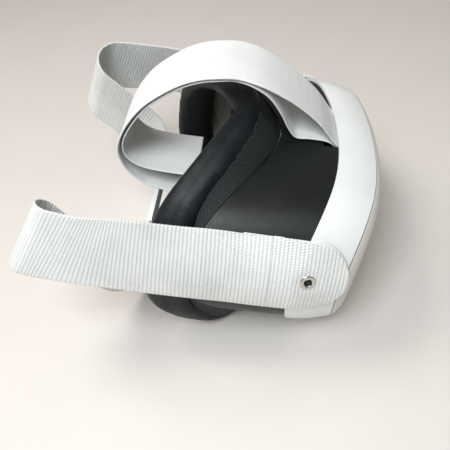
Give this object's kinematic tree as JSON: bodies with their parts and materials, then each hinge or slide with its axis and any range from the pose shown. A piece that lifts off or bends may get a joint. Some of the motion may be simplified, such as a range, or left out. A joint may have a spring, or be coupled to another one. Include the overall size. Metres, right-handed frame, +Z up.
{
  "type": "vr headset",
  "caption": "Head-worn virtual reality viewer with a white visor, padded face opening, adjustable lenses and a folding fabric head strap",
  "frame": {"origin": "on the table surface under the middle of the visor, on the plane the arm pivots are symmetric about", "axes": "X across the face from the wearer's right to left as seen from behind, -Y the way the visor looks, +Z up from the table"},
  "size_m": [0.1978, 0.2161, 0.1527],
  "materials": {
    "white_case": "satin white moulded plastic",
    "front_plastic": "satin warm white plastic",
    "window_glass": "gloss black camera window",
    "charcoal_case": "satin charcoal plastic",
    "inner_grey": "matt light grey plastic",
    "black_plastic": "matt black plastic",
    "steel": "brushed steel",
    "lens_glass": "clear coated lens",
    "board": "green circuit board",
    "battery_wrap": "dark film wrap",
    "aluminium_fins": "bare aluminium",
    "eyelet_metal": "satin nickel",
    "mesh_fabric": "black stretch mesh",
    "cushion_skin": "soft black coated foam",
    "white_webbing": "white ribbed webbing",
    "white_strap": "smooth white strap"
  },
  "bodies": {
    "visor": {"front_cover": "front_plastic", "front_windows": "window_glass", "shell": "white_case", "housing": "charcoal_case", "strap_anchor": "black_plastic", "lens_plate": "black_plastic", "plate_screws": "steel", "proximity_sensor": "window_glass", "chassis": "aluminium_fins", "battery": "battery_wrap", "mainboard": "board", "heat_sink": "aluminium_fins", "speaker_right": "black_plastic", "speaker_left": "black_plastic", "usb_port": "steel", "pivot_post_right": "eyelet_metal", "pivot_post_left": "eyelet_metal"},
    "fan": {"fan_rotor": "black_plastic"},
    "right_optics": {"lens_barrel_right": "black_plastic", "lens_right": "lens_glass", "display_right": "window_glass"},
    "left_optics": {"lens_barrel_left": "black_plastic", "lens_left": "lens_glass", "display_left": "window_glass"},
    "eye_wheel": {"ipd_wheel": "charcoal_case"},
    "volume": {"volume_rocker": "white_case"},
    "power": {"power_button": "white_case"},
    "face_interface": {"face_frame": "inner_grey", "mesh_skirt": "mesh_fabric", "face_cushion": "cushion_skin"},
    "headband": {"arm_right": "white_case", "arm_left": "white_case", "arm_cover_right": "white_webbing", "arm_cover_left": "white_webbing", "eyelet_right": "eyelet_metal", "eyelet_left": "eyelet_metal", "side_strap_right": "white_webbing", "side_strap_left": "white_webbing", "strap_joiner": "white_case", "top_strap": "white_strap", "top_strap_tongue": "white_strap"}
  },
  "joints": [
    {"name": "headband_tilt", "type": "hinge", "parent": "visor", "child": "headband", "pos_m": [0, -0.06146, 0.07289], "axis": [1, 0, 0], "range_deg": [-2, 8], "deforming": ["top_strap", "top_strap_tongue"]},
    {"name": "face_depth", "type": "slide", "parent": "visor", "child": "face_interface", "axis": [0, 0.9848, 0.1736], "range_m": [0, 0.006]},
    {"name": "right_lens_slide", "type": "slide", "parent": "visor", "child": "right_optics", "axis": [1, 0, 0], "range_m": [-0.003, 0.003]},
    {"name": "left_lens_slide", "type": "slide", "parent": "visor", "child": "left_optics", "axis": [1, 0, 0], "range_m": [-0.003, 0.003]},
    {"name": "eye_wheel_turn", "type": "hinge", "parent": "visor", "child": "eye_wheel", "pos_m": [0, -0.05092, 0.0189], "axis": [0, 0.9848, 0.1736], "range_deg": [-60, 60]},
    {"name": "fan_spin", "type": "hinge", "parent": "visor", "child": "fan", "pos_m": [0, -0.09491, 0.04668], "axis": [0, 0.9848, 0.1736], "continuous": true},
    {"name": "power_press", "type": "slide", "parent": "visor", "child": "power", "axis": [0, -0.1736, 0.9848], "range_m": [0, 0.0008], "stiffness_N_per_m": 600},
    {"name": "volume_rock", "type": "hinge", "parent": "visor", "child": "volume", "pos_m": [-0.038, -0.0747, 0.00404], "axis": [0, 0.9848, 0.1736], "range_deg": [-3, 3], "stiffness_Nm_per_rad": 0.3}
  ],
  "couplings": [
    {"joint": "left_lens_slide", "follows": "right_lens_slide", "ratio": -1},
    {"joint": "eye_wheel_turn", "follows": "right_lens_slide", "rad_per_m": 349.07}
  ]
}
